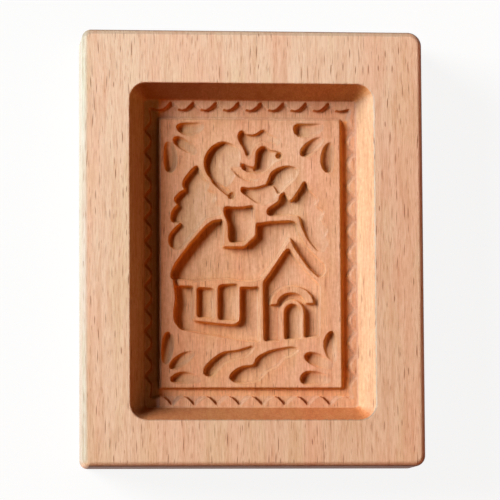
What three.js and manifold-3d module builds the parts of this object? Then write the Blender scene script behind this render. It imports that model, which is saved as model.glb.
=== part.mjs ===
// A rectangular cookie mould, carved from one solid board of beech.
// The board lies on its flat back with the carving up (+Z) and the top of the picture towards +Y.
// A hollow with leaning walls goes down to a ledge. Inside the ledge runs a scalloped groove, and the
// groove leaves a raised panel whose face carries the sunken picture of a cottage. Millimetres throughout.

import * as THREE from "three";
import { mergeVertices } from "three/addons/utils/BufferGeometryUtils.js";
import Module from "manifold-3d";

const wasm = await Module();
wasm.setup();

// Board. Its corners, from the upper right one and counterclockwise, are rounded by hand and differ a little.
const boardWidth = 94;
const boardLength = 120;
const boardThickness = 18;
const boardCornerRadii = [3.9, 2.5, 2.2, 3];
const boardEdgeRound = 1.5;

// Hollow, cut a little below and left of the board's middle
const sideRim = 13.2;
const endRim = 13.65;
const hollowShiftX = -0.25;
const hollowShiftY = -1;
const hollowDepth = 6.5;
const openingCornerRadius = 4.6;
const footCornerRadius = 1;
const sideWallRun = 4.4;
const endWallRun = 3.9;

// Groove and panel, on the floor of the hollow. The groove is shallower at the ends, where its floor rises
// over a short ramp.
const sideGroove = 4.4;
const endGroove = 5.3;
const sideGrooveDepth = 1.5;
const endGrooveDepth = 1;
const rampRun = 3;
const panelWallLean = 0.6;
const panelCornerRadius = 0.5;

// Scallops, which leave the ledge and reach into the groove
const tipClearance = 2.55;
const scallopDepth = 2.6;
const scallopPitch = 6.2;
const scallopWallLean = 0.6;
const cornerNotch = 0.6;

// Picture, as it was drawn, and how deep each part of it is cut
const drawnWidth = 50;
const drawnLength = 74.3;
const roofDepth = 2.15;
const chimneyDepth = 2.05;
const sideWallDepth = 2.1;
const gableDepth = 1.4;
const paneDepth = 1.5;
const doorDepth = 1.45;
const treeDepth = 1.75;
const moonDepth = 1.9;
const smokeDepth = 1.45;
const tailDepth = 1.1;
const leafDepth = 1.6;
const stoneDepth = 1.45;
const stemDepth = 1.4;
const dotDepth = 1.6;

// Where a pocket's floor climbs, the share of its depth that is left at the far end. Below zero, the floor
// meets the panel's face before that end.
const runningOut = -0.2;
const fading = 0.08;
const halfFading = 0.35;
const sloping = 0.65;

// Width over which a pocket's wall turns into its floor
const wallRound = 0.5;
const smokeRound = 0.35;
const leafRoundShare = 0.3;
const dotRoundShare = 0.5;

// How far the corners of an outline are softened
const cornerSoftness = 0.7;
const fineSoftness = 0.4;

// Other shapes of the cuts: where along its length a leaf is widest, how fast it narrows from there, how far
// the door's hood stays below the panel's face, the lean of the walls that pockets leave standing, and how
// much of a sharp corner's reach an inset keeps
const leafWidest = 0.4;
const leafNarrowing = 0.37;
const hoodDrop = 0.35;
const islandLean = 0.08;
const bluntest = 0.7;

// Fineness of the curves, and how far a cut starts above the wood that it goes into
const cornerSteps = 6;
const lobeSteps = 6;
const leafSteps = 8;
const archSteps = 8;
const splineSteps = 3;
const bendSteps = 2;
const roundSteps = 3;
const overcut = 1;

// Sizes that follow from those above
const openingWidth = boardWidth - 2 * sideRim;
const openingLength = boardLength - 2 * endRim;
const footWidth = openingWidth - 2 * sideWallRun;
const footLength = openingLength - 2 * endWallRun;
const panelWidth = footWidth - 2 * sideGroove;
const panelLength = footLength - 2 * endGroove;
const ledgeHeight = boardThickness - hollowDepth;

// Turns a closed three.js geometry into a solid that can be cut and joined.
function solid(geometry) {
  const bare = geometry.clone();
  bare.deleteAttribute("normal");
  bare.deleteAttribute("uv");
  const merged = mergeVertices(bare);
  const vertProperties = new Float32Array(merged.attributes.position.array);
  const triVerts = new Uint32Array(merged.index.array);
  return new wasm.Manifold(new wasm.Mesh({ numProp: 3, vertProperties, triVerts }));
}

// Turns a finished solid back into a geometry with flat faces.
function geometryOf(body) {
  const mesh = body.getMesh();
  const geometry = new THREE.BufferGeometry();
  geometry.setAttribute("position", new THREE.BufferAttribute(mesh.vertProperties, 3));
  geometry.setIndex(new THREE.BufferAttribute(mesh.triVerts, 1));
  const faceted = geometry.toNonIndexed();
  faceted.computeVertexNormals();
  return faceted;
}

// A level ring round a rectangle with round corners, counterclockwise. The corners share one radius or have
// one each, from the upper right corner.
function roundedRing(width, length, radii, height) {
  const ring = [];
  const signs = [[1, 1], [-1, 1], [-1, -1], [1, -1]];
  signs.forEach(([signX, signY], corner) => {
    const radius = Array.isArray(radii) ? radii[corner] : radii;
    for (let step = 0; step <= cornerSteps; step += 1) {
      const angle = ((corner + step / cornerSteps) * Math.PI) / 2;
      const x = signX * (width / 2 - radius) + radius * Math.cos(angle);
      const y = signY * (length / 2 - radius) + radius * Math.sin(angle);
      ring.push(new THREE.Vector3(x, y, height));
    }
  });
  return ring;
}

// A closed body through counterclockwise rings with as many points each, from the lowest to the highest.
function loft(rings) {
  const count = rings[0].length;
  const index = [];
  for (let level = 0; level < rings.length - 1; level += 1) {
    const base = level * count;
    for (let i = 0; i < count; i += 1) {
      const next = (i + 1) % count;
      index.push(base + i, base + next, base + count + next);
      index.push(base + i, base + count + next, base + count + i);
    }
  }
  const last = (rings.length - 1) * count;
  THREE.ShapeUtils.triangulateShape(rings[0], []).forEach(([a, b, c]) => index.push(a, c, b));
  THREE.ShapeUtils.triangulateShape(rings[rings.length - 1], []).forEach(([a, b, c]) => {
    index.push(last + a, last + b, last + c);
  });
  const geometry = new THREE.BufferGeometry().setFromPoints(rings.flat());
  geometry.setIndex(index);
  return solid(geometry);
}

// Moves the corners of a counterclockwise outline inward, by the same distance from both sides of each.
function inset(points, distance) {
  return points.map((point, i) => {
    const before = points[(i + points.length - 1) % points.length];
    const after = points[(i + 1) % points.length];
    const arriving = point.clone().sub(before).normalize();
    const leaving = after.clone().sub(point).normalize();
    const share = distance / Math.max(1 + arriving.dot(leaving), bluntest);
    const turned = arriving.add(leaving);
    return new THREE.Vector2(point.x - share * turned.y, point.y + share * turned.x);
  });
}

// The points of an outline as vectors, put in counterclockwise order.
function counterclockwise(points) {
  const vectors = points.map((point) => new THREE.Vector2(...point));
  return THREE.ShapeUtils.isClockWise(vectors) ? vectors.reverse() : vectors;
}

// An outline with straight sides whose corners are softened, as a function of how far it is inset.
function cornered(points, radius) {
  const corners = counterclockwise(points);
  return (distance) => {
    const moved = inset(corners, distance);
    return moved.flatMap((corner, i) => {
      const partWay = (other) => {
        const share = Math.min(radius / corner.distanceTo(other), 0.4);
        return corner.clone().lerp(other, share);
      };
      const start = partWay(moved[(i + moved.length - 1) % moved.length]);
      const end = partWay(moved[(i + 1) % moved.length]);
      return new THREE.QuadraticBezierCurve(start, corner, end).getPoints(bendSteps);
    });
  };
}

// An outline that runs smoothly through all its points, as a function of how far it is inset.
function smooth(points) {
  const through = counterclockwise(points);
  return (distance) => {
    const moved = inset(through, distance).map((point) => new THREE.Vector3(point.x, point.y, 0));
    const curve = new THREE.CatmullRomCurve3(moved, true, "centripetal");
    return curve.getPoints(points.length * splineSteps).slice(0, -1);
  };
}

// The points of an arc about a middle, from one angle to another in degrees.
function arc(middle, radii, fromAngle, toAngle) {
  const points = [];
  for (let step = 0; step <= archSteps; step += 1) {
    const angle = THREE.MathUtils.degToRad(fromAngle + (step / archSteps) * (toAngle - fromAngle));
    points.push([middle[0] + radii[0] * Math.cos(angle), middle[1] + radii[1] * Math.sin(angle)]);
  }
  return points;
}

// A cut into the panel's face, whose level is 0 here. The wall drops steeply from the outline and turns
// into the floor over the width `round`. Along the direction `rise` the floor climbs, until at the far
// end only the share `left` of the depth is left.
function pocket(outline, depth, { round = wallRound, rise = [1, 0], left = 1 } = {}) {
  const along = new THREE.Vector2(...rise).normalize();
  const placeOf = (point) => point.x * along.x + point.y * along.y;
  const places = outline(0).map(placeOf);
  const first = Math.min(...places);
  const last = Math.max(...places);
  const ringAt = (distance, level) => outline(distance).map((point) => {
    const share = 1 - ((placeOf(point) - first) / (last - first)) * (1 - left);
    return new THREE.Vector3(point.x, point.y, level * share);
  });
  const rings = [];
  for (let step = 0; step <= roundSteps; step += 1) {
    const angle = (1 - step / roundSteps) * (Math.PI / 2);
    rings.push(ringAt(round * (1 - Math.cos(angle)), -depth * Math.sin(angle)));
  }
  rings.push(outline(0).map((point) => new THREE.Vector3(point.x, point.y, overcut)));
  return loft(rings);
}

// A piece of wood that a pocket leaves standing, up to the panel's face or to a lower top, with walls that
// lean outward on the way down.
function island(outline, top = 2 * overcut) {
  const ringAt = (level) => outline(islandLean * level).map((point) => {
    return new THREE.Vector3(point.x, point.y, level);
  });
  return loft([ringAt(-roofDepth - overcut), ringAt(top)]);
}

// The blank: a board with round corners and softened edges.
function blank() {
  const ringAt = (share, height) => {
    const cut = boardEdgeRound * (1 - Math.cos((share * Math.PI) / 2));
    const radii = boardCornerRadii.map((radius) => radius - cut);
    return roundedRing(boardWidth - 2 * cut, boardLength - 2 * cut, radii, height);
  };
  const rings = [];
  for (let step = roundSteps; step >= 0; step -= 1) {
    const share = step / roundSteps;
    rings.push(ringAt(share, boardEdgeRound * (1 - Math.sin((share * Math.PI) / 2))));
  }
  for (let step = 0; step <= roundSteps; step += 1) {
    const share = step / roundSteps;
    const drop = boardEdgeRound * (1 - Math.sin((share * Math.PI) / 2));
    rings.push(ringAt(share, boardThickness - drop));
  }
  return loft(rings);
}

// The hollow: its walls lean in from the opening in the rim to their foot at the ledge.
function hollow() {
  const past = 1 + overcut / hollowDepth;
  const grow = (foot, opening) => foot + (opening - foot) * past;
  const lower = roundedRing(footWidth, footLength, footCornerRadius, ledgeHeight);
  const upper = roundedRing(
    grow(footWidth, openingWidth),
    grow(footLength, openingLength),
    grow(footCornerRadius, openingCornerRadius),
    boardThickness + overcut,
  );
  return loft([lower, upper]);
}

// How far out the scalloped edge lies at a place along one side, counted in lobes from its first corner.
function scallopReach(place, count, tip, foot) {
  const fromEnd = Math.min(place, count - place, 1);
  const notch = cornerNotch + (scallopDepth - cornerNotch) * fromEnd;
  const bulge = Math.sin(Math.PI * (place % 1));
  return Math.min(tip + notch * (1 - bulge), foot);
}

// The scalloped outer edge of the groove: a whole number of lobes on each side.
function scallopedOutline() {
  const halfWidth = panelWidth / 2 + tipClearance;
  const halfLength = panelLength / 2 + tipClearance;
  const points = [];
  for (let side = 0; side < 4; side += 1) {
    const upright = side % 2 === 0;
    const turn = side < 2 ? 1 : -1;
    const tip = upright ? halfWidth : halfLength;
    const foot = upright ? footWidth / 2 : footLength / 2;
    const half = (upright ? halfLength : halfWidth) + cornerNotch;
    const count = Math.round((2 * half) / scallopPitch);
    for (let step = 0; step < count * lobeSteps; step += 1) {
      const place = step / lobeSteps;
      const along = turn * half * ((2 * place) / count - 1);
      const reach = turn * scallopReach(place, count, tip, foot);
      points.push(upright ? new THREE.Vector2(reach, along) : new THREE.Vector2(-along, reach));
    }
  }
  return points;
}

// The panel that stands in the groove, with its walls leaning out towards the groove's floor.
function panel() {
  const slope = panelWallLean / sideGrooveDepth;
  const ringAt = (level) => {
    const grown = -2 * slope * level;
    return roundedRing(panelWidth + grown, panelLength + grown, panelCornerRadius, ledgeHeight + level);
  };
  return loft([ringAt(-sideGrooveDepth - overcut), ringAt(overcut)]);
}

// The wood that stays under the shallower groove at one end: 1 is the upper end and -1 the lower one. It
// rises along a ramp beside the panel.
function raisedFloor(end) {
  const width = footWidth + 2 * overcut;
  const far = footLength / 2 + overcut;
  const ringAt = (run, depth) => {
    const near = panelLength / 2 - run;
    const ring = roundedRing(width + 2 * run, far + run - near, panelCornerRadius, ledgeHeight - depth);
    return ring.map((point) => point.setY(point.y + (end * (near + far + run)) / 2));
  };
  const lower = ringAt(rampRun, sideGrooveDepth + overcut);
  return loft([lower, ringAt(rampRun, sideGrooveDepth), ringAt(0, endGrooveDepth)]);
}

// The groove between the scalloped ledge and the panel. The scallops' walls lean towards the panel.
function groove() {
  const outline = scallopedOutline();
  const ringAt = (distance, level) => inset(outline, distance).map((point) => {
    return new THREE.Vector3(point.x, point.y, ledgeHeight + level);
  });
  const rings = [ringAt(scallopWallLean, -sideGrooveDepth), ringAt(0, 0), ringAt(0, overcut)];
  return loft(rings).subtract(panel()).subtract(raisedFloor(1)).subtract(raisedFloor(-1));
}

// The outline of a leaf that is blunt where it starts and has its spine bent sideways, as a function of
// how far it is inset.
function leafOutline(start, tip, width, bend, widest) {
  const from = new THREE.Vector2(...start);
  const to = new THREE.Vector2(...tip);
  const across = new THREE.Vector2(from.y - to.y, to.x - from.x).normalize();
  const middle = from.clone().lerp(to, 0.5).addScaledVector(across, 2 * bend);
  const spine = new THREE.QuadraticBezierCurve(from, middle, to);
  const halfWidthAt = (place) => {
    if (place < widest) {
      return (width / 2) * Math.sqrt(1 - (1 - place / widest) ** 2);
    }
    const pastWidest = (place - widest) / (1 - widest);
    return (width / 2) * Math.cos(pastWidest * (Math.PI / 2)) ** leafNarrowing;
  };
  return (distance) => {
    const narrowed = 1 - (2 * distance) / width;
    const shortened = distance / from.distanceTo(to);
    const rightEdge = [];
    const leftEdge = [];
    const pointAt = (place) => spine.getPoint(shortened + place * (1 - 3 * shortened));
    for (let step = 1; step < leafSteps; step += 1) {
      const place = (1 - Math.cos((step / leafSteps) * Math.PI)) / 2;
      const half = narrowed * halfWidthAt(place);
      rightEdge.push(pointAt(place).addScaledVector(across, -half));
      leftEdge.unshift(pointAt(place).addScaledVector(across, half));
    }
    return [pointAt(0), ...rightEdge, pointAt(1), ...leftEdge];
  };
}

// A leaf, deep where it starts and shallower towards its tip.
function leaf(start, tip, width, bend, { widest = leafWidest, left = fading } = {}) {
  const rise = [tip[0] - start[0], tip[1] - start[1]];
  const round = leafRoundShare * width;
  return pocket(leafOutline(start, tip, width, bend, widest), leafDepth, { round, rise, left });
}

// The sprigs of three leaves in the four corners.
function sprigs() {
  return [
    leaf([-20.4, 34.8], [-12.7, 35.4], 3.5, -0.75),
    leaf([-21.2, 31.9], [-14.9, 27.6], 3, 0.05),
    leaf([-22.3, 22.2], [-22.8, 30.9], 3.5, -0.45, { left: halfFading }),
    leaf([12.1, 34.4], [20.6, 35.4], 3.9, -0.7, { widest: 0.22 }),
    leaf([14.2, 27.2], [20.4, 32.1], 3.3, 0.1),
    leaf([21.7, 22.3], [22.3, 30.9], 3.5, 0.55, { left: halfFading }),
    leaf([-22.8, -21.8], [-23.7, -30.7], 3.1, 0.2, { left: halfFading }),
    leaf([-22.4, -31.8], [-15.8, -27.4], 3, 0.2),
    leaf([-22.3, -34.9], [-14, -35.2], 3.1, 0.7),
    leaf([22.4, -21.5], [22.9, -30.1], 3.4, -0.8),
    leaf([14.8, -28.2], [22.6, -31.4], 3.6, 0.1),
    leaf([13.5, -34.7], [22, -35], 3.8, 0.4, { widest: 0.25 }),
  ];
}

// The two long stones of the garden path.
function path() {
  const upper = [
    [0.9, -25.6], [-1.6, -26.2], [-4, -26.9], [-7.6, -27.4], [-11, -29.6], [-13, -32],
    [-12.8, -33.6], [-11, -34.2], [-9.6, -32.9], [-7.3, -30.5], [-3.4, -29.2], [-0.6, -28.3],
  ];
  const lower = [
    [-6, -34.4], [-4.8, -32.6], [-2.4, -31.3], [0.6, -30.8], [1.6, -28.9], [4.6, -27.2], [8.3, -26.3],
    [11.6, -25.9], [13.3, -26.6], [11.8, -28.2], [9, -29.3], [7.2, -31.4], [4.4, -32.7], [2.4, -35],
    [-0.6, -35.9], [-4.4, -35.7],
  ];
  return [
    pocket(smooth(upper), stoneDepth, { rise: [1, 0.4], left: halfFading }),
    pocket(smooth(lower), stoneDepth, { rise: [1, 0.2], left: halfFading }),
  ];
}

// A round dot, cut by the tip of a ball-nosed cutter.
function dot(middle, radius, depth) {
  const outline = (distance) => arc(middle, [radius - distance, radius - distance], 0, 360)
    .slice(0, -1)
    .map((point) => new THREE.Vector2(...point));
  return pocket(outline, depth, { round: radius * dotRoundShare });
}

// The smoke: a crescent on its stem, a wisp above it, a hook with its bow and tail, and a low double curl.
function smoke() {
  const crescent = [
    [-3, 28.4], [-4.6, 30], [-7.6, 30.8], [-10.6, 29.4], [-12.4, 26.6], [-12.6, 24], [-11.7, 21.7],
    [-9.9, 19.7], [-7.6, 18.5], [-5.8, 19], [-4, 22], [-2.8, 25.4],
  ];
  const wisp = [
    [-2.2, 34], [-0.8, 33], [1.4, 32.9], [3.8, 34.3], [5.6, 33], [8.2, 31.6], [7.6, 29.9], [5.4, 30.8],
    [2.4, 30.5], [0.5, 28.6], [-0.5, 25.8], [-1.5, 28.6], [-3.1, 31.4], [-3.2, 33],
  ];
  const hook = [
    [3.7, 29.7], [5.8, 28.6], [8.6, 27.9], [9.1, 26.5], [6.8, 25.2], [5.2, 23.6], [3.4, 22.4], [1.6, 22.2],
    [0.8, 23], [1.4, 24.4], [1.6, 26.2], [1.9, 28.3],
  ];
  const tail = [
    [1.4, 19.9], [-0.9, 20.1], [-3, 21], [-4.5, 22.3], [-5.7, 23.8], [-5.6, 24.8], [-4.4, 25], [-3, 24.3],
    [-1.6, 22.8], [0.2, 22], [2.2, 21.6], [2.6, 20.6],
  ];
  const upperCurl = [
    [4.5, 18.9], [5.1, 20.4], [5.8, 22.2], [8, 23.7], [11.2, 24.2], [13.3, 23.2], [12.6, 20.8], [9.9, 18.4],
    [7.8, 16.2], [7.2, 17.3], [6.4, 18.6],
  ];
  const lowerCurl = [
    [-2.4, 18.2], [-0.4, 18], [2.2, 18.3], [4.6, 19], [7.4, 18.1], [7.6, 16.1], [4.8, 13.7], [2.6, 13.5],
    [-0.6, 15.6], [-2.4, 17],
  ];
  const stem = leafOutline([-4.6, 15.3], [-10.7, 20.3], 1.6, -0.15, leafWidest);
  const bow = leafOutline([3, 23.4], [-3, 25.4], 1.7, 1.2, leafWidest);
  return [
    pocket(smooth(crescent), moonDepth, { round: smokeRound, rise: [1, -0.35], left: fading }),
    pocket(stem, stemDepth, { round: smokeRound, rise: [1, 1], left: sloping }),
    pocket(smooth(wisp), smokeDepth, { round: smokeRound, rise: [1, -0.3], left: fading }),
    pocket(smooth(hook), moonDepth, { round: smokeRound, rise: [1, -0.35], left: fading }),
    pocket(bow, stemDepth, { round: smokeRound, rise: [1, 1], left: sloping }),
    pocket(smooth(tail), tailDepth, { round: smokeRound, rise: [0.6, 1], left: runningOut }),
    pocket(smooth(upperCurl), smokeDepth, { round: smokeRound, rise: [1, -0.6], left: halfFading }),
    pocket(smooth(lowerCurl), smokeDepth, { round: smokeRound, rise: [1, -0.8], left: fading }),
    dot([-5.2, 15.9], 1, dotDepth),
    dot([8.1, 27.1], 0.95, dotDepth),
  ];
}

// The firs on both sides of the cottage, with their boughs as steps in the outline.
function trees() {
  const leftTree = [
    [-14.8, 24.4], [-16.4, 22.9], [-18.4, 20.3], [-18.8, 18.6], [-18, 17.5], [-19.5, 16.9], [-21.3, 14.7],
    [-20, 13.2], [-21.1, 12.5], [-22, 10.7], [-21.8, 8.4], [-19.1, 8.3], [-20.7, 7.1], [-22.3, 5.2],
    [-22.7, 3.2], [-22, 1.4], [-20.3, 0.8], [-18.8, 1.5], [-16.1, 5], [-12.3, 9.7], [-9.4, 10.4],
    [-7.9, 10.6], [-8.5, 12.7], [-10, 14.1], [-9.1, 15.5], [-10.3, 16.9], [-11.9, 17.6], [-11.4, 19.4],
    [-13.4, 21.2], [-14.1, 23.6],
  ];
  const rightTree = [
    [15, 20.2], [13.6, 17.7], [11.3, 14.4], [10.4, 15.4], [9.6, 17.1], [8.4, 16.4], [7.9, 14.3], [4.9, 12.4],
    [4.5, 11.2], [5.3, 10.3], [9.7, 10.6], [13.6, 10.2], [14.2, 7.5], [16, 3.5], [18.5, 0.4], [20, 0.2],
    [21.8, 2.6], [20.6, 4.6], [21.8, 6.6], [19.6, 9.5], [20.6, 11.4], [18.1, 13.6], [19.2, 15],
    [16.4, 17.6], [15.8, 19.6],
  ];
  return [
    pocket(cornered(leftTree, cornerSoftness), treeDepth, { rise: [1, -0.5], left: fading }),
    pocket(cornered(rightTree, cornerSoftness), treeDepth, { rise: [1, -0.8], left: fading }),
  ];
}

// The chimney: a pocket of its own, and the rim that keeps the roof's pocket away from it.
function chimney() {
  const flue = [
    [-7.3, 12.9], [-5.4, 12.7], [-2.6, 12.7], [1.1, 13.2], [0.8, 5.5], [-1.5, 2.9], [-5.6, 2.9], [-6, 4],
    [-6.2, 8.6], [-7.2, 10.6],
  ];
  return pocket(cornered(flue, cornerSoftness), chimneyDepth, { left: sloping });
}

// The rim round the chimney that the roof's pocket leaves standing.
function chimneyRim() {
  const rim = [[-7.6, 11], [-7.6, 1.7], [-1.7, 1.7], [1.6, 4.8], [1.7, 11]];
  return island(cornered(rim, cornerSoftness));
}

// The roof: the long slope, and the narrow strip of the far slope that runs down behind the gable.
function roof() {
  const slopes = [
    [-7.6, 9.3], [-10.5, 8.9], [-12.6, 7.3], [-16.6, 2.7], [-19.4, -0.9], [-21.2, -3.5], [-22.1, -6.1],
    [-21.8, -7.3], [-19.1, -7.4], [-16, -7.9], [-11.1, -7.4], [-6, -7.1], [-3.2, -7.7], [0.6, -7.8],
    [3, -7.2], [7.2, -1.7], [10.3, 3.1], [11, 4.3], [12.3, 1.4], [15.9, -3.9], [19.2, -7], [21, -5],
    [20.6, -3], [16.1, 1.4], [13.5, 5.5], [12.9, 8.6], [10.9, 9], [5, 8.7], [2.4, 8.2],
  ];
  const cut = pocket(cornered(slopes, cornerSoftness), roofDepth, { left: sloping });
  return cut.subtract(chimneyRim());
}

// The long wall of the cottage, cut round the frame of its window, and the window's two panes.
function longWall() {
  const wall = [
    [-20, -6.8], [-21.4, -6.8], [-20.7, -12.8], [-21.3, -16.4], [-21.1, -19], [-19.4, -21.2],
    [-11.1, -22.7], [-1.4, -24.4], [2.4, -24.7], [2.4, -9.2], [0.6, -9.5], [-2.9, -9.4], [-16, -9.3],
    [-20, -9.1],
  ];
  const frame = [
    [-15.9, -6], [-15.9, -18.2], [-14.9, -18.9], [-8.3, -19.6], [-4.6, -19.9], [-3.2, -19], [-2.9, -17.2],
    [-2.9, -6],
  ];
  const narrowPane = [[-14.8, -9.5], [-10.1, -9.8], [-10.1, -18.2], [-14.8, -17.8]];
  const widePane = [[-9, -9.1], [-7.6, -8.7], [-3.5, -8.6], [-3.5, -18.9], [-9, -18.5]];
  const cut = pocket(cornered(wall, cornerSoftness), sideWallDepth, { left: sloping });
  return [
    cut.subtract(island(cornered(frame, cornerSoftness))),
    pocket(cornered(narrowPane, cornerSoftness), paneDepth, { left: sloping }),
    pocket(cornered(widePane, cornerSoftness), paneDepth, { left: sloping }),
  ];
}

// The arched hood over the door, standing in the gable's pocket, a little lower than the panel's face.
function hood() {
  const outer = arc([11.5, -14.2], [6.1, 5.2], 4, 180);
  const inner = arc([11.3, -14.2], [4, 3.3], 180, 6);
  return island(cornered([...outer, ...inner], fineSoftness), -hoodDrop);
}

// An upright opening or frame with a round head, whose arc has its middle at `springing`.
function arch(springing, radius, base) {
  const [middle] = springing;
  const head = arc(springing, [radius, radius], 0, 180);
  return cornered([[middle + radius, base], ...head, [middle - radius, base]], fineSoftness);
}

// The gable wall with its door, the door's frame and the hood.
function gable() {
  const wall = [
    [10.5, 1.5], [9.2, 0.3], [5, -6.1], [3.5, -7.9], [3.6, -24.4], [9, -24.2], [14, -23.5], [18.9, -22.9],
    [19.2, -8.7], [17.2, -6.7], [13.3, -2.2], [11.5, 0.4],
  ];
  const belowWall = -26;
  const cut = pocket(cornered(wall, cornerSoftness), gableDepth);
  const frame = island(arch([11.5, -16.2], 3.3, belowWall));
  const door = pocket(arch([11.6, -16.3], 2.3, -23.8), doorDepth, { left: sloping });
  return [cut.subtract(hood()).subtract(frame), door];
}

// The whole picture, drawn on a panel of the drawn size and fitted to the panel as it is.
function picture() {
  const cuts = [
    ...sprigs(), ...path(), ...smoke(), ...trees(), chimney(), roof(), ...longWall(), ...gable(),
  ];
  const together = cuts.reduce((all, cut) => all.add(cut));
  return together
    .scale([panelWidth / drawnWidth, panelLength / drawnLength, 1])
    .translate([0, 0, ledgeHeight]);
}

// The mould: one board, with everything else cut out of it.
function mouldBlock() {
  const cuts = hollow().add(groove()).add(picture()).translate([hollowShiftX, hollowShiftY, 0]);
  const beech = new THREE.MeshStandardMaterial({ color: 0xe0b08c, roughness: 0.62, metalness: 0 });
  const mesh = new THREE.Mesh(geometryOf(blank().subtract(cuts)), beech);
  mesh.name = "mould_block";
  return mesh;
}

const cookieMould = new THREE.Group();
cookieMould.add(mouldBlock());

export default cookieMould;
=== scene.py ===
# A cookie mould cut from one board of beech, lying on its back and lit from its upper left.
# The board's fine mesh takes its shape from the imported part, with the creases rounded as a small
# round-nosed cutter leaves them and the edges softened as by light sanding.

import math

import bpy
import numpy as np
from mathutils import Matrix, Vector


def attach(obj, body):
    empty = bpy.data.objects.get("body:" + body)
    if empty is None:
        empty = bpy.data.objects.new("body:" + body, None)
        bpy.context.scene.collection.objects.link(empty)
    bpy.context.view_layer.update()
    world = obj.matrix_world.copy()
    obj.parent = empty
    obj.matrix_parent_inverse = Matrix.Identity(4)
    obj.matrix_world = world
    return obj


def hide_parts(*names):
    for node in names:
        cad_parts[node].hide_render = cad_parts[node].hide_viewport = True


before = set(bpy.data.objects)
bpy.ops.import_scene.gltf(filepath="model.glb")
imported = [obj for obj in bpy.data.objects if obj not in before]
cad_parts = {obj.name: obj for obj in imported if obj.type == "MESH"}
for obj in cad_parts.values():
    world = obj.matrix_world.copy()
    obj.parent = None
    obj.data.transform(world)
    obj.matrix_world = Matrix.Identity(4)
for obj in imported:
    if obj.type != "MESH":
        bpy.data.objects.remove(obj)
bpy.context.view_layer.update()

# Millimetres, as everything below is until a mesh is made
METRES = 0.001
NODE = "mould_block"

# The board's outline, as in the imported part
BOARD_WIDTH = 94.0
BOARD_LENGTH = 120.0
BOARD_THICKNESS = 18.0
EDGE_ROUND = 1.5

# The radii of its corners: lower left, lower right, upper right and upper left
CORNER_RADII = (2.2, 3.0, 3.9, 2.5)

# The area that is read as heights from above: the hollow and a margin of the rim
FIELD_LOW = (-35.6, -48.8)
FIELD_HIGH = (35.1, 46.8)
SAMPLE_PITCH = 0.1
MESH_PITCH = 0.15
TRIANGLES = 192000

# The cutter's nose, the sanding of the edges and the softening of everything else
NOSE_RADIUS = 0.6
SANDED_RADIUS = 0.26
SOFTENING = 0.09

# Rings of the mesh on the rim, on each rounding and on the sides, and how far the flat faces' last rings
# lie inside the rounding
RIM_RINGS = 4
ROUND_RINGS = 6
SIDE_RINGS = 6
FLAT_MARGIN = 0.25

# The camera's place, its turn as a rotation vector, its focal length as a share of the picture's width and,
# in metres, the nearest and farthest things that it sees
CAMERA_PLACE = (-98.38, -97.73, 994.1)
CAMERA_TURN = (0.0987, -0.099, -0.0007)
FOCAL_SHARE = 3600 / 500
SENSOR_WIDTH = 36.0
CAMERA_RANGE = (0.05, 10.0)

WHITE = (1.0, 1.0, 1.0)

# The light: a broad soft sun from the upper left, a weak warm one that stands for what the room throws
# back from the lower right, and a weak warm light from all round
SUN_DIRECTION = (-1.92, 0.85, 0.86)
SUN_STRENGTH = 6.8
SUN_ANGLE = 32.0
RETURN_DIRECTION = (1.5, -1.45, 0.55)
RETURN_STRENGTH = 0.74
RETURN_ANGLE = 40.0
RETURN_COLOUR = (1.0, 0.235, 0.03)
FILL_COLOUR = (1.0, 0.34, 0.06)
FILL_STRENGTH = 0.095

# The floor: half its width in metres, its colour for the light, and how much of its shadow the camera sees
FLOOR_HALF = 1.5
FLOOR_COLOUR = (0.85, 0.85, 0.85)
FLOOR_SHADOW_SHARE = 0.10

# The colours at the upper left and the lower right: the wood's own change of tone, together with painted
# light that falls off from the upper left
PALE_BEECH = (0.955, 0.765, 0.57)
RED_BEECH = (0.81, 0.55, 0.367)

# How the colour goes from one to the other: how much faster across the board than along it, how many
# millimetres the change moves for each that the fibres wander, and how far from the middle it ends
CHANGE_ACROSS = 1.25
CHANGE_WANDER = 14.28
CHANGE_REACH = 95.2

# How the fibres wander sideways: the steps of a noise per millimetre across, along and through the board,
# and the reach in millimetres from one end of the noise to the other
WANDER = {"steps": (0.10, 0.05, 0.10), "detail": 2.0, "roughness": 0.5, "reach": 1.6}

# The markings of the wood, from broad to fine. The steps are again those of a noise, the range is where in
# it the marking sets in, and the tint is its colour.
BLOTCHES = {
    "steps": (0.11, 0.018, 0.08), "detail": 3.0, "roughness": 0.55,
    "range": (0.40, 0.64), "tint": (1.0, 0.90, 0.88),
}
YELLOWING = {
    "steps": (0.16, 0.03, 0.1), "detail": 2.0, "roughness": 0.5,
    "range": (0.46, 0.66), "tint": (0.97, 0.98, 0.93),
}
STREAKS = {
    "steps": (0.75, 0.035, 0.5), "detail": 3.0, "roughness": 0.6,
    "range": (0.42, 0.70), "tint": (0.90, 0.82, 0.77),
}
FIBRES = {
    "steps": (3.2, 0.22, 2.0), "detail": 2.0, "roughness": 0.6,
    "range": (0.36, 0.70), "tint": (0.88, 0.81, 0.76),
}
FUZZ = {
    "steps": (1.2, 0.9, 1.2), "detail": 2.0, "roughness": 0.6,
    "range": (0.38, 0.62), "tint": (0.93, 0.89, 0.86),
}

# The rays: the size of the cells that hold one each, half the size of a ray, where the pattern starts, all
# in millimetres, and their colour
BROAD_RAYS = {
    "cell": (1.75, 4.9, 14.0), "half": (0.20, 2.1, 7.0), "start": 3.7, "tint": (0.42, 0.27, 0.21),
}
NARROW_RAYS = {
    "cell": (0.9, 3.4, 10.0), "half": (0.13, 1.4, 5.0), "start": 11.3, "tint": (0.74, 0.60, 0.52),
}

# The length of the shortest ray and the strength of the faintest one, as shares of those stated, and the
# part of a ray that has its full colour
RAY_SHORTEST = 0.5
RAY_FAINTEST = 0.25
RAY_CORE = 0.35

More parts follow.
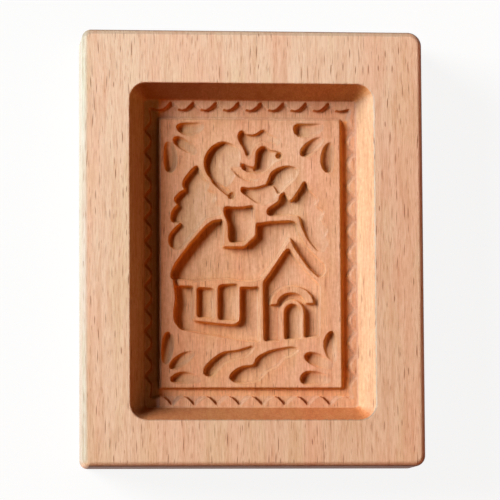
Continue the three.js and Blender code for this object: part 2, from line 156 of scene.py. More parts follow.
# How strongly the rays and the fuzz of fine fibres show on each kind of face
RAYS_SANDED = 0.93
RAYS_CUT = 0.7
RAYS_END_GRAIN = 0.15
RAYS_LONG_SIDE = 0.3
FUZZ_SANDED = 0.3
FUZZ_CUT = 1.0

# The finest relief, the gloss and, from one fibre to the next, the roughness
RELIEF = 0.05
RELIEF_STRENGTH = 0.35
GLOSS = 0.3
ROUGHNESS = (0.52, 0.66)
ROUGHNESS_RANGE = (0.3, 0.7)

# The colour at the edges and ends: darker at the top edge from handling, painted shade on the edges that face
# away from the sun, and the sanded end grain
TOP_EDGE = (0.80, 0.76, 0.74)
PAINTED_EDGE_SHADE = (0.30, 0.22, 0.17)
SANDED_END = (0.92, 0.84, 0.76)

# The cut faces: on level ones darker and warmer as painted shade and reflected light of the hollow, on
# leaning ones darker as painted shade that holds back the strong sun, and on the end grain of the hollow's
# end walls, at their left, at the right of the lower one and at the right of the top one, where the change
# from left to right is painted shade at the left and painted light thrown back by the right wall
CUT_LEVEL = (1.01, 0.80, 0.69)
CUT_SLOPE = (0.62, 0.75, 0.77)
CUT_END_LEFT = (0.67, 0.43, 0.28)
CUT_END_RIGHT = (0.92, 0.54, 0.34)
TOP_END_RIGHT = (1.2, 0.80, 0.42)

# The picture: its cuts, its right part lighter with painted light thrown back by the hollow's right wall, the
# painted shade colour of its shaded walls, and painted shadow on floors close beside an edge
PICTURE_FLOOR = (1.0, 1.02, 1.0)
PICTURE_RIGHT = (1.06, 1.16, 1.28)
PICTURE_SHADE = (1.12, 1.0, 0.42)
PICTURE_NEAR_SHADOW_LOW = (0.97, 0.78, 0.46)
PICTURE_NEAR_SHADOW_HIGH = (0.80, 0.62, 0.34)

# Round the picture, all painted: the shade colour of the panel's shaded walls and the shadow on the floor
# close beside them, warm reflected light on the strip right of the panel, the shade colour of the scallops'
# shaded walls and the shade of the groove left of the panel
PANEL_SHADE = (0.96, 0.74, 0.22)
PANEL_NEAR_SHADOW = (1.30, 0.96, 0.42)
BESIDE_PANEL_BOUNCE = (1.2, 1.04, 0.72)
SCALLOP_SHADE = (0.62, 0.34, 0.12)
GROOVE_SHADE = (0.70, 0.95, 1.5)

# How much of the added light shows on faces that lean towards the sun
KEPT_SANDED = (0.06, 0.27, 0.42)
KEPT_CUT = (0.11, 0.14, 0.17)

# How far the painted shade beside an edge reaches over a floor, how soon it is at its full, and how finely it
# is felt
SHELTER_REACH = 4.0
SHELTER_SHARE = 1.5
SHELTER_SAMPLES = 8

# The panel's middle, half its size, the reach of its walls and the height of its face and the ledge
PANEL_MIDDLE = (-0.25, -1.0)
PANEL_HALF = (25.0, 37.15)
PANEL_WALL = 2.2
PANEL_HEIGHT = 11.5

# Where an area begins and where it has its full share, in millimetres past the height of the panel's face.
# Here the hollow's walls and the picture's cuts.
WALLS_FROM = (0.1, 0.6)
CUTS_FROM = (-0.05, -0.35)

# The same past an edge of the panel: the panel itself, the groove left of it, what lies below its top edge
# or above its lower one, and the strip right of it, from the panel and from outside
PANEL_FROM = (0.1, -0.1)
GROOVE_FROM = (0.0, -0.6)
UNDER_TOP_FROM = (0.2, -0.6)
OVER_LOW_FROM = (-0.6, 0.2)
STRIP_FROM_PANEL = (0.2, 0.7)
STRIP_FROM_OUTSIDE = (2.8, 1.2)

# Where one colour gives way to another, across or along the board
END_CHANGE_ACROSS = (-30.0, 30.0)
END_CHANGE_ALONG = (-10.0, 10.0)
NEAR_CHANGE_ALONG = (-2.0, 6.0)
RIGHT_CHANGE_ACROSS = (-8.0, 20.0)

# Where a face begins to be of a kind and where it is so wholly, by one part of its normal, and what the
# gentle slopes count for in a face's steepness
GENTLE_FROM = (0.998, 0.90)
STEEP_FROM = (0.90, 0.50)
LEFT_FROM = (-0.10, -0.30)
TOP_FROM = (0.03, 0.25)
OUTER_FROM = (0.80, 0.45)
END_FROM = (0.15, 0.80)
RAYS_END_FROM = (0.15, 0.60)
RAYS_LONG_SIDE_FROM = (0.80, 0.95)
GENTLE_SHARE = 0.6

# The same by how squarely it meets the sun: shaded walls and the shaded walls of the scallops
SHADED_FROM = (0.8, -0.6)
NOTCHED_FROM = (1.0, 0.6)


def corners_of(node):
    """The corner points of all triangles of a node, in millimetres."""
    mesh = node.data
    mesh.calc_loop_triangles()
    places = np.zeros(len(mesh.vertices) * 3)
    mesh.vertices.foreach_get("co", places)
    order = np.zeros(len(mesh.loop_triangles) * 3, dtype=np.int32)
    mesh.loop_triangles.foreach_get("vertices", order)
    return places.reshape(-1, 3)[order].reshape(-1, 3, 3) / METRES


def heights_from_above(corners, xs, ys):
    """The height of the topmost surface at each point of a grid."""
    heights = np.zeros((len(ys), len(xs)))
    slack = 1e-6
    for a, b, c in corners:
        normal = np.cross(b - a, c - a)
        if normal[2] <= slack ** 2:
            continue
        lowest = np.minimum(np.minimum(a, b), c)
        highest = np.maximum(np.maximum(a, b), c)
        left, right = np.searchsorted(xs, [lowest[0] - slack, highest[0] + slack])
        near, far = np.searchsorted(ys, [lowest[1] - slack, highest[1] + slack])
        if left == right or near == far:
            continue
        x = xs[left:right][None, :]
        y = ys[near:far][:, None]
        inside = np.ones((far - near, right - left), dtype=bool)
        for start, end in ((a, b), (b, c), (c, a)):
            side = (end[0] - start[0]) * (y - start[1]) - (end[1] - start[1]) * (x - start[0])
            inside &= side >= -slack
        z = a[2] - (normal[0] * (x - a[0]) + normal[1] * (y - a[1])) / normal[2]
        z = np.clip(z, lowest[2], highest[2])
        patch = heights[near:far, left:right]
        patch[inside] = np.maximum(patch, z)[inside]
    return heights


def shifted_maximum(heights, radius):
    """The heights as a ball of this radius would trace them when it rolls on top."""
    reach = int(radius / SAMPLE_PITCH)
    padded = np.pad(heights, reach, mode="edge")
    rows, columns = heights.shape
    result = np.full_like(heights, -np.inf)
    for i in range(-reach, reach + 1):
        for j in range(-reach, reach + 1):
            rest = radius ** 2 - (i * i + j * j) * SAMPLE_PITCH ** 2
            if rest >= 0:
                drop = math.sqrt(rest) - radius
                moved = padded[reach + i : reach + i + rows, reach + j : reach + j + columns]
                np.maximum(result, moved + drop, out=result)
    return result


def rounded_creases(heights, radius):
    """What a ball-nosed cutter of this radius leaves of the shape: every crease is rounded."""
    return -shifted_maximum(-shifted_maximum(heights, radius), radius)


def rounded_edges(heights, radius):
    """The shape with its raised edges rounded."""
    return -rounded_creases(-heights, radius)


def softened(heights, spread):
    """The heights blurred by a bell curve."""
    reach = int(3 * spread / SAMPLE_PITCH) + 1
    steps = np.arange(-reach, reach + 1)
    weights = np.exp(-0.5 * (steps * SAMPLE_PITCH / spread) ** 2)
    weights /= weights.sum()
    for axis in (0, 1):
        margin = [(reach, reach) if a == axis else (0, 0) for a in (0, 1)]
        padded = np.pad(heights, margin, mode="edge")
        size = heights.shape[axis]
        heights = sum(
            weight * np.take(padded, range(start, start + size), axis=axis)
            for start, weight in enumerate(weights)
        )
    return heights


def evenly(low, high, pitch):
    """Places from low to high, about a pitch apart."""
    return np.linspace(low, high, int(round((high - low) / pitch)) + 1)


def carved_heights(node):
    """The finished heights of the field, with the places of its columns and rows."""
    xs = evenly(FIELD_LOW[0], FIELD_HIGH[0], SAMPLE_PITCH)
    ys = evenly(FIELD_LOW[1], FIELD_HIGH[1], SAMPLE_PITCH)
    heights = heights_from_above(corners_of(node), xs, ys)
    heights = rounded_creases(heights, NOSE_RADIUS)
    heights = rounded_edges(heights, SANDED_RADIUS)
    return xs, ys, softened(heights, SOFTENING)


def read_between(xs, ys, heights, new_xs, new_ys):
    """The heights at the crossings of a new grid, by straight interpolation."""
    columns = np.array([np.interp(new_xs, xs, row) for row in heights])
    return np.array([np.interp(new_ys, ys, column) for column in columns.T]).T


def read_at(xs, ys, values, x, y):
    """The grid's values at single points, by straight interpolation."""
    slack = 0.001
    column = np.clip((x - xs[0]) / (xs[1] - xs[0]), 0, len(xs) - 1 - slack)
    row = np.clip((y - ys[0]) / (ys[1] - ys[0]), 0, len(ys) - 1 - slack)
    i, j = row.astype(int), column.astype(int)
    u, v = column - j, row - i
    near = (1 - u) * values[i, j] + u * values[i, j + 1]
    far = (1 - u) * values[i + 1, j] + u * values[i + 1, j + 1]
    return (1 - v) * near + v * far


def outline(shares, inset):
    """Points on the board's outline, moved in by an inset. A share runs from 0 to 4, a side each, and a
    whole number is the middle of a corner, from the lower left and counterclockwise."""
    half = np.array([BOARD_WIDTH / 2 - inset, BOARD_LENGTH / 2 - inset])
    points = []
    for share in shares:
        side = int(share) % 4
        reach, depth = half[side % 2], half[1 - side % 2]
        first, last = CORNER_RADII[side] - inset, CORNER_RADII[(side + 1) % 4] - inset
        length = 2 * reach - first - last
        first_arc, last_arc = first * math.pi / 4, last * math.pi / 4
        place = (share - int(share)) * (first_arc + length + last_arc) - first_arc
        if place < 0:
            angle = place / first
            along = first - reach + first * math.sin(angle)
            across = depth - first + first * math.cos(angle)
        elif place > length:
            angle = (place - length) / last
            along = reach - last + last * math.sin(angle)
            across = depth - last + last * math.cos(angle)
        else:
            along, across = first - reach + place, depth
        turned = ((along, -across), (across, along), (-along, across), (-across, -along))[side]
        points.append(turned)
    return np.array(points)


def field_border(columns, rows):
    """The numbers of the grid's border points, counterclockwise from the lower left, and their shares."""
    number = np.arange(rows * columns).reshape(rows, columns)
    sides = (number[0, :-1], number[:-1, -1], number[-1, :0:-1], number[:0:-1, 0])
    shares = np.concatenate([
        side + np.arange(len(points)) / len(points) for side, points in enumerate(sides)
    ])
    return np.concatenate(sides), shares


def rounded_ring(shares, turn, height_at):
    """A ring on the rounding of an edge, with its height. The turn is 0 at the flat face and a quarter at
    the upright side, and the height comes from how deep the ring lies below the flat face's plane."""
    inset = EDGE_ROUND * (1 - math.sin(turn))
    return outline(shares, inset), height_at(EDGE_ROUND * (1 - math.cos(turn)))


def outer_rings(inner, shares):
    """Rings of points with their heights, from the field's border over the rim and down to the back."""
    quarter = math.pi / 2
    flat_edge = outline(shares, EDGE_ROUND + FLAT_MARGIN)
    rings = []
    for step in range(1, RIM_RINGS + 1):
        share = step / RIM_RINGS
        rings.append((inner + share * (flat_edge - inner), BOARD_THICKNESS))
    for step in range(ROUND_RINGS + 1):
        turn = step / ROUND_RINGS * quarter
        rings.append(rounded_ring(shares, turn, lambda depth: BOARD_THICKNESS - depth))
    for step in range(1, SIDE_RINGS):
        drop = step / SIDE_RINGS * (BOARD_THICKNESS - 2 * EDGE_ROUND)
        rings.append((outline(shares, 0), BOARD_THICKNESS - EDGE_ROUND - drop))
    for step in range(ROUND_RINGS + 1):
        turn = quarter - step / ROUND_RINGS * quarter
        rings.append(rounded_ring(shares, turn, lambda depth: depth))
    rings.append((flat_edge, 0.0))
    return rings


def closed_mesh(name, vertices, quads, back):
    """A mesh from its points in millimetres, its quads and the one large face of its back."""
    mesh = bpy.data.meshes.new(name)
    mesh.vertices.add(len(vertices))
    mesh.vertices.foreach_set("co", (vertices * METRES).ravel())
    mesh.loops.add(quads.size + len(back))
    mesh.loops.foreach_set("vertex_index", np.concatenate([quads.ravel(), back]).astype(np.int32))
    mesh.polygons.add(len(quads) + 1)
    starts = np.arange(len(quads) + 1) * quads.shape[1]
    mesh.polygons.foreach_set("loop_start", starts.astype(np.int32))
    mesh.update(calc_edges=True)
    mesh.validate()
    return mesh


def dense_mesh(name, xs, ys, heights):
    """The whole board as one closed mesh: the carved field, the rim, the sides and the back."""
    new_xs = evenly(xs[0], xs[-1], MESH_PITCH)
    new_ys = evenly(ys[0], ys[-1], MESH_PITCH)
    field = read_between(xs, ys, heights, new_xs, new_ys)
    grid_x, grid_y = np.meshgrid(new_xs, new_ys)
    points = np.stack([grid_x, grid_y, field], axis=2).reshape(-1, 3)
    rows, columns = field.shape
    number = np.arange(rows * columns).reshape(rows, columns)
    quads = np.stack([number[:-1, :-1], number[:-1, 1:], number[1:, 1:], number[1:, :-1]], axis=2)

    border, shares = field_border(columns, rows)
    all_points, all_quads = [points], [quads.reshape(-1, 4)]
    count, previous = len(points), border
    for ring, height in outer_rings(points[border, :2], shares):
        all_points.append(np.column_stack([ring, np.full(len(ring), height)]))
        current = np.arange(count, count + len(ring))
        count += len(ring)
        corners = [previous, current, np.roll(current, -1), np.roll(previous, -1)]
        all_quads.append(np.stack(corners, axis=1))
        previous = current
    return closed_mesh(name, np.concatenate(all_points), np.concatenate(all_quads), previous[::-1])


def simplified(mesh, triangles):
    """The mesh with about this many triangles, the fewest where it is flat."""
    mesh.calc_loop_triangles()
    helper = bpy.data.objects.new("helper", mesh)
    bpy.context.scene.collection.objects.link(helper)
    modifier = helper.modifiers.new("fewer", "DECIMATE")
    modifier.ratio = triangles / len(mesh.loop_triangles)
    modifier.use_collapse_triangulate = True
    graph = bpy.context.evaluated_depsgraph_get()
    result = bpy.data.meshes.new_from_object(helper.evaluated_get(graph))
    bpy.data.objects.remove(helper)
    bpy.data.meshes.remove(mesh)
    return result


def edge_normals(places):
    """The normals of the board's outside: level, rounded at its edges and upright at its sides."""
    quarter = np.where(places[:, 1] < 0, places[:, 0] > 0, 3 - (places[:, 0] > 0))
    radius = np.array(CORNER_RADII)[quarter][:, None]
    past = np.abs(places[:, :2]) - (np.array([BOARD_WIDTH / 2, BOARD_LENGTH / 2]) - radius)
    beside = past[:, :1] > past[:, 1:]
    away = np.where(past.min(axis=1, keepdims=True) > 0, past, np.hstack([beside, ~beside]) * 1.0)
    away /= np.linalg.norm(away, axis=1, keepdims=True)
    inside = radius[:, 0] - (np.maximum(past, 0) * away).sum(axis=1)
    level = np.clip(1 - inside / EDGE_ROUND, 0, 1)
    upright = np.sqrt(1 - level ** 2) * np.where(places[:, 2] > BOARD_THICKNESS / 2, 1, -1)
    return np.column_stack([away * np.sign(places[:, :2]) * level[:, None], upright])


def field_normals(places, xs, ys, heights):
    """The normals of the carved surface, from the slopes of its heights."""
    slope_y, slope_x = np.gradient(heights, ys, xs)
    x, y = places[:, 0], places[:, 1]
    across, along = read_at(xs, ys, slope_x, x, y), read_at(xs, ys, slope_y, x, y)
    normals = np.column_stack([-across, -along, np.ones(len(places))])
    return normals / np.linalg.norm(normals, axis=1, keepdims=True)


def board_mesh(name, node):
    """The board's mesh with its normals and, for each face, whether it is sanded or cut."""
    xs, ys, heights = carved_heights(node)
    mesh = simplified(dense_mesh(name, xs, ys, heights), TRIANGLES)
    mesh.name = name
    places = np.zeros(len(mesh.vertices) * 3)
    mesh.vertices.foreach_get("co", places)
    places = places.reshape(-1, 3) / METRES
    in_field = (places[:, 0] > xs[0]) & (places[:, 0] < xs[-1]) & (places[:, 1] > ys[0])
    in_field &= (places[:, 1] < ys[-1]) & (places[:, 2] > EDGE_ROUND)
    normals = edge_normals(places)
    normals[in_field] = field_normals(places[in_field], xs, ys, heights)
    mesh.polygons.foreach_set("use_smooth", np.ones(len(mesh.polygons), dtype=bool))
    mesh.normals_split_custom_set_from_vertices(normals)

    corners = np.zeros(len(mesh.loops), dtype=np.int32)
    mesh.loops.foreach_get("vertex_index", corners)
    corners = corners.reshape(-1, 3)
    sunken = places[corners, 2].mean(axis=1) < BOARD_THICKNESS - SANDED_RADIUS
    is_cut = sunken & in_field[corners].all(axis=1)
    mesh.polygons.foreach_set("material_index", is_cut.astype(np.int32))
    return mesh


class Nodes:
    """A short way to make and link shader nodes."""

    def __init__(self, tree):
        self.tree = tree

    def make(self, kind, inputs=None, **settings):
        """A node with its settings, and with its inputs linked or set."""
        node = self.tree.nodes.new(kind)
        for name, value in settings.items():
            setattr(node, name, value)
        for key, value in (inputs or {}).items():
            socket = node.inputs[key]
            if isinstance(value, bpy.types.NodeSocket):
                self.tree.links.new(value, socket)
            else:
                socket.default_value = value
        return node

    def math(self, operation, first, second=0.0, clamp=False):
        """One step of arithmetic."""
        node = self.make("ShaderNodeMath", {0: first, 1: second}, operation=operation, use_clamp=clamp)
        return node.outputs[0]

    def times(self, first, *others):
        """The product of all the values."""
        for other in others:
            first = self.math("MULTIPLY", first, other)
        return first

    def rest(self, share):
        """What a share leaves of 1."""
        return self.math("SUBTRACT", 1.0, share)

    def size(self, value):
        """The value without its sign."""
        return self.math("ABSOLUTE", value)

    def vector(self, operation, first, second):
        """One step of arithmetic with vectors."""
        return self.make("ShaderNodeVectorMath", {0: first, 1: second}, operation=operation).outputs[0]

    def measure(self, operation, *vectors):
        """A number taken from one or two vectors, such as a length."""
        node = self.make("ShaderNodeVectorMath", dict(enumerate(vectors)), operation=operation)
        return node.outputs["Value"]

    def part(self, vector, axis):
        """A vector's part along X, Y or Z."""
        return self.make("ShaderNodeSeparateXYZ", {0: vector}).outputs[axis]

    def joined(self, x, y, z):
        """A vector from its parts."""
        return self.make("ShaderNodeCombineXYZ", {"X": x, "Y": y, "Z": z}).outputs[0]

    def pattern(self, place, kind):
        """The noise that belongs to one of the wood's markings."""
        scaled = self.vector("MULTIPLY", place, kind["steps"])
        inputs = {"Vector": scaled, "Scale": 1.0, "Detail": kind["detail"], "Roughness": kind["roughness"]}
        return self.make("ShaderNodeTexNoise", inputs).outputs["Fac"]

    def remap(self, value, low, high, to_low=0.0, to_high=1.0):
        """The value moved smoothly from one range to another, and kept inside it."""
        inputs = {"Value": value, "From Min": low, "From Max": high, "To Min": to_low, "To Max": to_high}
        return self.make("ShaderNodeMapRange", inputs, interpolation_type="SMOOTHSTEP").outputs["Result"]

    def mix(self, factor, first, second, blend="MIX"):
        """Two colours mixed."""
        node = self.make("ShaderNodeMix", {"Factor": factor}, data_type="RGBA", blend_type=blend)
        for key, value in (("A", first), ("B", second)):
            socket = [s for s in node.inputs if s.name == key and s.type == "RGBA"][0]
            if isinstance(value, bpy.types.NodeSocket):
                self.tree.links.new(value, socket)
            else:
                socket.default_value = (*value, 1.0)
        return [s for s in node.outputs if s.type == "RGBA"][0]

    def tint(self, share, colour, shade):
        """The colour multiplied with a shade, as far as the share says."""
        return self.mix(share, colour, shade, "MULTIPLY")


def cleared_nodes(owner):
    """The shader nodes of a material or a world, with nothing in them yet."""
    owner.use_nodes = True
    owner.node_tree.nodes.clear()
    return Nodes(owner.node_tree)


def past(place, steps):
    """Two places, each a step past the given one."""
    return tuple(place + step for step in steps)


def steepness(n, normal):
    """How far a face leans, from 0 where it lies level to 1 where it stands upright, with the gentle slopes
    already well on the way."""
    level = n.size(n.part(normal, "Z"))
    gentle = n.remap(level, *GENTLE_FROM)
    steep = n.remap(level, *STEEP_FROM)
    return n.math("ADD", n.times(gentle, GENTLE_SHARE), n.times(steep, 1 - GENTLE_SHARE))


def marked(n, colour, place, marking, share=1.0):
    """The colour with one of the wood's markings on it, and the noise that the marking follows."""
    noise = n.pattern(place, marking)
    amount = n.times(n.remap(noise, *marking["range"]), share)
    return n.tint(amount, colour, marking["tint"]), noise


def rays(n, place, kind):
    """The rays of beech, cut across: short dark strokes along the fibres, each of its own length and depth
    of colour. Gives 0 between them and up to 1 in the middle of the darkest."""
    moved = n.vector("ADD", place, (kind["start"],) * 3)
    cells = n.vector("DIVIDE", moved, kind["cell"])
    voronoi = n.make("ShaderNodeTexVoronoi", {"Vector": cells, "Scale": 1.0}, feature="F1")
    away = n.vector("MULTIPLY", n.vector("SUBTRACT", cells, voronoi.outputs["Position"]), kind["cell"])
    own = voronoi.outputs["Color"]
    length = n.math("ADD", n.part(own, "X"), RAY_SHORTEST)
    reach = n.vector("DIVIDE", away, kind["half"])
    x, y, z = (n.part(reach, axis) for axis in "XYZ")
    distance = n.measure("LENGTH", n.joined(x, n.math("DIVIDE", y, length), z))
    strength = n.remap(n.part(own, "Y"), 0.0, 1.0, RAY_FAINTEST, 1.0)
    return n.times(n.remap(distance, 1.0, RAY_CORE), strength)


def facing_sun(n, normal):
    """How squarely a face meets the main sun, counted in times of what a level face gets."""
    towards = tuple(part / SUN_DIRECTION[2] for part in SUN_DIRECTION)
    return n.measure("DOT_PRODUCT", normal, towards)


def held_back(n, colour, facing, kept, where):
    """The colour made darker where a face leans towards the sun, so that it shows only the kept share of the
    added light, as the photograph's soft highlights do."""
    gain = n.math("MAXIMUM", facing, 1.0)
    added = n.rest(n.math("DIVIDE", 1.0, gain))
    return n.tint(n.times(added, where), colour, kept)


def sanded(n, colour, normal, _place):
    """Sanded faces: the top edge is darker from handling, the other edges and sides carry painted shade but
    for those that face left towards the sun, and the ends show end grain."""
    level = n.size(n.part(normal, "Z"))
    left = n.remap(n.part(normal, "X"), *LEFT_FROM)
    colour = n.tint(n.remap(n.part(normal, "Y"), *TOP_FROM), colour, TOP_EDGE)
    # Painted shade on the rounded edges and sides, all but those that face left towards the sun
    colour = n.tint(n.times(n.remap(level, *OUTER_FROM), n.rest(left)), colour, PAINTED_EDGE_SHADE)
    colour = n.tint(n.remap(n.size(n.part(normal, "Y")), *END_FROM), colour, SANDED_END)
    return held_back(n, colour, facing_sun(n, normal), KEPT_SANDED, 1.0)


def sheltered(n):
    """How much of what comes from the sun's side is hidden by edges that stand within a few millimetres."""
    inputs = {"Distance": SHELTER_REACH * METRES, "Normal": n.joined(*Vector(SUN_DIRECTION).normalized())}
    node = n.make("ShaderNodeAmbientOcclusion", inputs, samples=SHELTER_SAMPLES, only_local=True)
    return n.rest(node.outputs["AO"])


def inside_panel(n, place, margin):
    """1 inside the panel's outline, grown by a margin, and 0 outside it."""
    shares = []
    for axis, middle, half in zip("XY", PANEL_MIDDLE, PANEL_HALF):
        away = n.size(n.math("SUBTRACT", n.part(place, axis), middle))
        shares.append(n.remap(away, *past(half + margin, PANEL_FROM)))
    return n.times(*shares)


def areas_of(n, place):
    """How far a place lies in each area of the carving, as a share from 0 to 1 under the area's name."""
    across, along, height = (n.part(place, axis) for axis in "XYZ")
    left, low = (middle - half for middle, half in zip(PANEL_MIDDLE, PANEL_HALF))
    right, top = (middle + half for middle, half in zip(PANEL_MIDDLE, PANEL_HALF))
    hollow_walls = n.remap(height, *past(PANEL_HEIGHT, WALLS_FROM))
    below = n.rest(hollow_walls)
    picture = inside_panel(n, place, 0.0)
    panel = inside_panel(n, place, PANEL_WALL)
    beside = n.times(below, n.rest(picture))
    left_groove = n.times(n.remap(across, *past(left, GROOVE_FROM)), beside)
    under_top = n.remap(along, *past(top, UNDER_TOP_FROM))
    strip = n.times(n.remap(across, *past(right, STRIP_FROM_OUTSIDE)), beside)
    strip = n.times(strip, n.remap(across, *past(right, STRIP_FROM_PANEL)))
    return {
        "hollow walls": hollow_walls,
        "below": below,
        "picture": picture,
        "picture cuts": n.times(n.remap(height, *past(PANEL_HEIGHT, CUTS_FROM)), picture),
        "picture right": n.times(n.remap(across, *RIGHT_CHANGE_ACROSS), picture),
        "panel walls": n.times(n.math("SUBTRACT", panel, picture), n.rest(left_groove), under_top),
        "outside panel": n.rest(panel),
        "left groove": left_groove,
        "right strip": n.times(strip, under_top, n.remap(along, *past(low, OVER_LOW_FROM))),
    }


def cut(n, colour, normal, place):
    """Faces that the cutter left, most of their tints painted shade and light: all are warmer and darker as
    painted shade of the hollow, the hollow's leaning walls darker still as painted shade that holds back the
    strong sun, and its end walls darker with their end grain. The shaded walls of the picture, the panel and
    the scallops have painted shade colours of their own; floors close beside an edge get painted shadow, the
    groove left of the panel painted shade, the strip right of the panel painted reflected light, and the
    picture's right part painted light thrown back by the hollow's right wall."""
    across, along = n.part(place, "X"), n.part(place, "Y")
    areas = areas_of(n, place)
    below, picture, panel_walls = areas["below"], areas["picture"], areas["panel walls"]
    lean = steepness(n, normal)
    facing = facing_sun(n, normal)
    leaning = n.times(lean, below)
    shaded = n.times(leaning, n.remap(facing, *SHADED_FROM))
    notched = n.times(leaning, n.remap(facing, *NOTCHED_FROM))
    # Painted shadow on floors close beside an edge that hides the sun
    near = n.math("MULTIPLY", sheltered(n), SHELTER_SHARE, clamp=True)
    near = n.times(near, n.math("SUBTRACT", below, shaded, clamp=True))
    near_shadow_tint = n.mix(n.remap(along, *NEAR_CHANGE_ALONG), PICTURE_NEAR_SHADOW_LOW, PICTURE_NEAR_SHADOW_HIGH)
    # The end grain is darker; its change from left to right is painted shade at the left and painted light
    # thrown back by the right wall, most on the top wall
    end = n.times(n.remap(n.size(n.part(normal, "Y")), *END_FROM), areas["hollow walls"])
    end_right = n.mix(n.remap(along, *END_CHANGE_ALONG), CUT_END_RIGHT, TOP_END_RIGHT)
    end_tint = n.mix(n.remap(across, *END_CHANGE_ACROSS), CUT_END_LEFT, end_right)
    # These tints paint shade and light, all but the end grain's own darker colour and the small tint of the
    # picture's cuts
    tints = (
        (1.0, CUT_LEVEL),
        (n.times(lean, areas["hollow walls"]), CUT_SLOPE),
        (end, end_tint),
        (n.times(shaded, picture), PICTURE_SHADE),
        (n.times(near, picture), near_shadow_tint),
        (n.times(shaded, panel_walls), PANEL_SHADE),
        (n.times(near, panel_walls), PANEL_NEAR_SHADOW),
        (n.times(notched, areas["outside panel"]), SCALLOP_SHADE),
        (areas["left groove"], GROOVE_SHADE),
        (areas["right strip"], BESIDE_PANEL_BOUNCE),
        (areas["picture right"], PICTURE_RIGHT),
        (areas["picture cuts"], PICTURE_FLOOR),
    )
    for share, shade in tints:
        colour = n.tint(share, colour, shade)
    return held_back(n, colour, facing, KEPT_CUT, below)


def wandering(n, place):
    """How far the fibres have wandered sideways at a place, in millimetres."""
    middle = 0.5
    return n.times(n.math("SUBTRACT", n.pattern(place, WANDER), middle), WANDER["reach"])


def wood_tone_and_painted_falloff(n, place, sideways):
    """The wood's colour without its grain, pale at the board's upper left and redder at its lower right:
    partly the wood's own tone, partly painted light that falls off from the upper left.
    """
    change = n.math("SUBTRACT", n.times(n.part(place, "X"), CHANGE_ACROSS), n.part(place, "Y"))
    change = n.math("ADD", change, n.times(sideways, CHANGE_WANDER))
    return n.mix(n.remap(change, -CHANGE_REACH, CHANGE_REACH), PALE_BEECH, RED_BEECH)


def beech_material(name, finish_and_shade, ray_share, fuzz_share):
    """Beech as one solid texture, with its fibres along the board's length. The finish_and_shade function
    colours its faces by how they lie, with what sanding, handling and cutting do to the colour and with
    painted shade and light. The rays hardly show on end grain and on the long sides."""
    material = bpy.data.materials.new(name)
    n = cleared_nodes(material)
    coordinates = n.make("ShaderNodeTexCoord").outputs
    normal = coordinates["Normal"]
    place = n.vector("MULTIPLY", coordinates["Object"], (1 / METRES,) * 3)
    sideways = wandering(n, place)
    grain = n.vector("ADD", place, n.joined(sideways, 0.0, 0.0))

    colour = wood_tone_and_painted_falloff(n, place, sideways)
    for marking in (BLOTCHES, YELLOWING, STREAKS):
        colour, _ = marked(n, colour, grain, marking)
    colour, fibre = marked(n, colour, grain, FIBRES)
    end_share = n.remap(n.size(n.part(normal, "Y")), *RAYS_END_FROM, ray_share, RAYS_END_GRAIN)
    side_share = n.remap(n.size(n.part(normal, "X")), *RAYS_LONG_SIDE_FROM, 1.0, RAYS_LONG_SIDE)
    shown = n.times(end_share, side_share)
    broad, narrow = (rays(n, grain, kind) for kind in (BROAD_RAYS, NARROW_RAYS))
    colour = n.tint(n.times(broad, shown), colour, BROAD_RAYS["tint"])
    colour = n.tint(n.times(narrow, shown), colour, NARROW_RAYS["tint"])
    colour, _ = marked(n, colour, place, FUZZ, fuzz_share)
    colour = finish_and_shade(n, colour, normal, place)

    height = n.times(n.math("SUBTRACT", fibre, broad), RELIEF)
    relief = {"Height": height, "Strength": RELIEF_STRENGTH, "Distance": METRES}
    shader = n.make("ShaderNodeBsdfPrincipled", {
        "Base Color": colour,
        "Roughness": n.remap(fibre, *ROUGHNESS_RANGE, *ROUGHNESS),
        "Specular IOR Level": GLOSS,
        "Normal": n.make("ShaderNodeBump", relief).outputs[0],
    })
    n.make("ShaderNodeOutputMaterial", {"Surface": shader.outputs[0]})
    return material


def build_board():
    """Makes the board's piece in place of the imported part's plain solid."""
    board = bpy.data.objects.new("carved_board", board_mesh("carved_board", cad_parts[NODE]))
    bpy.context.scene.collection.objects.link(board)
    board.data.materials.append(beech_material("sanded_beech", sanded, RAYS_SANDED, FUZZ_SANDED))
    board.data.materials.append(beech_material("cut_beech", cut, RAYS_CUT, FUZZ_CUT))
    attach(board, "root")
    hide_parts(NODE)


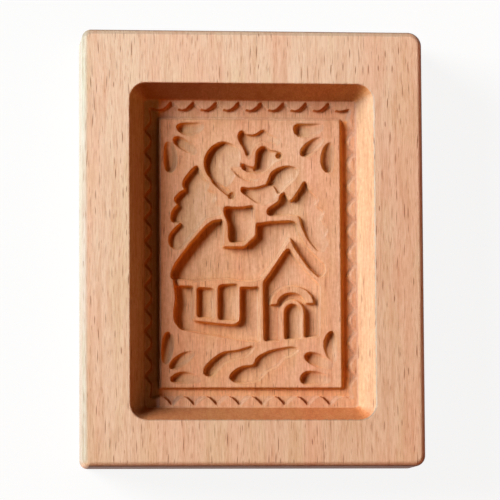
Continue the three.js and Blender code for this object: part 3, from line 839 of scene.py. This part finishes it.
def build_floor():
    """A wide pale floor, which the camera sees as nearly white, with the object's shadow faintly on it."""
    mesh = bpy.data.meshes.new("floor")
    corners = [(x * FLOOR_HALF, y * FLOOR_HALF, 0) for x, y in ((-1, -1), (1, -1), (1, 1), (-1, 1))]
    mesh.from_pydata(corners, [], [(0, 1, 2, 3)])
    floor = bpy.data.objects.new("floor", mesh)
    bpy.context.scene.collection.objects.link(floor)
    material = bpy.data.materials.new("floor")
    n = cleared_nodes(material)
    diffuse = n.make("ShaderNodeBsdfDiffuse", {"Color": (*FLOOR_COLOUR, 1.0)}).outputs[0]
    white = n.make("ShaderNodeEmission", {"Color": (*WHITE, 1.0), "Strength": 1.0}).outputs[0]
    path = n.make("ShaderNodeLightPath").outputs
    seen = n.math("MAXIMUM", path["Is Camera Ray"], path["Is Glossy Ray"])
    seen = n.math("MAXIMUM", seen, path["Is Transmission Ray"])
    share = n.times(seen, 1 - FLOOR_SHADOW_SHARE)
    mixed = n.make("ShaderNodeMixShader", {0: share, 1: diffuse, 2: white}).outputs[0]
    n.make("ShaderNodeOutputMaterial", {"Surface": mixed})
    mesh.materials.append(material)


def build_sun(name, direction, strength, angle, colour):
    """A lamp like the sun, shining from a direction and as soft as its angle is wide."""
    lamp = bpy.data.lights.new(name, "SUN")
    lamp.energy = strength
    lamp.angle = math.radians(angle)
    lamp.color = colour
    sun = bpy.data.objects.new(name, lamp)
    sun.rotation_euler = Vector(direction).to_track_quat("Z", "Y").to_euler()
    bpy.context.scene.collection.objects.link(sun)


def build_light():
    """The main sun, the weak warm return and the even light from all round."""
    build_sun("main_sun", SUN_DIRECTION, SUN_STRENGTH, SUN_ANGLE, WHITE)
    build_sun("return_sun", RETURN_DIRECTION, RETURN_STRENGTH, RETURN_ANGLE, RETURN_COLOUR)
    world = bpy.data.worlds.new("world")
    n = cleared_nodes(world)
    path = n.make("ShaderNodeLightPath").outputs
    seen = n.math("MAXIMUM", path["Is Camera Ray"], path["Is Transmission Ray"])
    fill = {"Color": (*FILL_COLOUR, 1.0), "Strength": FILL_STRENGTH}
    dim = n.make("ShaderNodeBackground", fill).outputs[0]
    white = n.make("ShaderNodeBackground", {"Color": (*WHITE, 1.0), "Strength": 1.0}).outputs[0]
    mixed = n.make("ShaderNodeMixShader", {0: seen, 1: dim, 2: white}).outputs[0]
    n.make("ShaderNodeOutputWorld", {"Surface": mixed})
    bpy.context.scene.world = world


def build_camera():
    """A long lens, a little to the left of the board and below it, as in the photograph."""
    data = bpy.data.cameras.new("camera")
    data.sensor_width = SENSOR_WIDTH
    data.lens = FOCAL_SHARE * SENSOR_WIDTH
    data.clip_start, data.clip_end = CAMERA_RANGE
    camera = bpy.data.objects.new("camera", data)
    turn = Vector(CAMERA_TURN)
    camera.matrix_world = (
        Matrix.Translation(Vector(CAMERA_PLACE) * METRES)
        @ Matrix.Rotation(turn.length, 4, turn.normalized())
    )
    bpy.context.scene.collection.objects.link(camera)
    bpy.context.scene.camera = camera


build_board()
build_floor()
build_light()
build_camera()
bpy.context.scene.view_settings.view_transform = "Standard"
